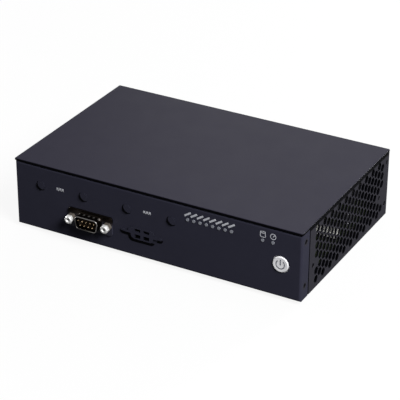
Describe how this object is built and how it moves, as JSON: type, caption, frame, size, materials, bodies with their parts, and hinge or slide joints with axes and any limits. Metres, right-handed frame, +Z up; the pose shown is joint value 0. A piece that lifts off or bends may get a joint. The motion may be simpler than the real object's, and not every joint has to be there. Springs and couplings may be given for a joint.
{
  "type": "fanless industrial computer",
  "caption": "Low black sheet-steel fanless computer: flat lid over an open line, honeycomb sides, serial port, indicator row and a round push button on the front.",
  "frame": {"origin": "centre of the footprint of the whole object, on the plane under the feet", "axes": "+Z up, +X to the right along the front, the front face looks along -Y"},
  "size_m": [0.1934, 0.1286, 0.0472],
  "materials": {
    "case_paint": "fine satin powder coat",
    "black_screw": "black oxide",
    "zinc_steel": "zinc plated",
    "steel": "satin",
    "rubber": "matte",
    "circuit_board": "solder mask",
    "brass": "turned",
    "chip_black": "moulded",
    "pad_grey": "soft",
    "black_anodised": "black anodised",
    "black_plastic": "moulded",
    "white_plastic": "moulded",
    "gold_pin": "gold plated",
    "can_aluminium": "satin",
    "light_pipe": "clear moulded",
    "button_white": "satin moulded",
    "cable_grey": "flat cable",
    "nickel": "nickel plated"
  },
  "bodies": {
    "casing": {"base_tray": "case_paint", "board_screws": "zinc_steel", "board_standoffs": "brass", "button_guide": "black_plastic", "capacitors": "can_aluminium", "case_screws": "black_screw", "cell_holder": "black_plastic", "coin_cell": "steel", "display_socket": "nickel", "display_tongue": "black_plastic", "front_board": "circuit_board", "front_board_screws": "zinc_steel", "front_board_spacers": "zinc_steel", "front_cable": "cable_grey", "front_cable_plug": "white_plastic", "front_header": "black_plastic", "front_panel": "case_paint", "heatsink": "black_anodised", "heatsink_nuts": "zinc_steel", "heatsink_screws": "zinc_steel", "indicator_lamps": "white_plastic", "inductors": "chip_black", "lid_brackets": "zinc_steel", "main_board": "circuit_board", "memory_module": "circuit_board", "memory_socket": "black_plastic", "network_jack_1": "nickel", "network_jack_2": "nickel", "network_jack_3": "nickel", "network_jack_4": "nickel", "network_light_pipes": "light_pipe", "power_header": "white_plastic", "power_header_pins": "gold_pin", "power_inlet": "black_plastic", "power_inlet_pin": "nickel", "power_switch": "black_plastic", "processor": "chip_black", "rear_panel": "case_paint", "rubber_feet": "rubber", "serial_header": "black_plastic", "serial_insulator": "black_plastic", "serial_jack_screws": "nickel", "serial_nuts": "zinc_steel", "serial_pins": "gold_pin", "serial_ribbon": "cable_grey", "serial_shell": "nickel", "side_panel_left": "case_paint", "side_panel_right": "case_paint", "status_light_pipes": "light_pipe", "storage_card": "circuit_board", "storage_screw": "brass", "storage_socket": "black_plastic", "thermal_pad": "pad_grey", "top_cover": "case_paint", "twin_socket_1": "nickel", "twin_socket_2": "nickel", "twin_socket_tongues": "black_plastic"},
    "button": {"power_button": "button_white", "switch_plunger": "white_plastic"}
  },
  "joints": [
    {"name": "power_press", "type": "slide", "parent": "casing", "child": "button", "axis": [0, 1, 0], "range_m": [0, 0.001], "stiffness_N_per_m": 600, "springref_m": -0.001}
  ]
}
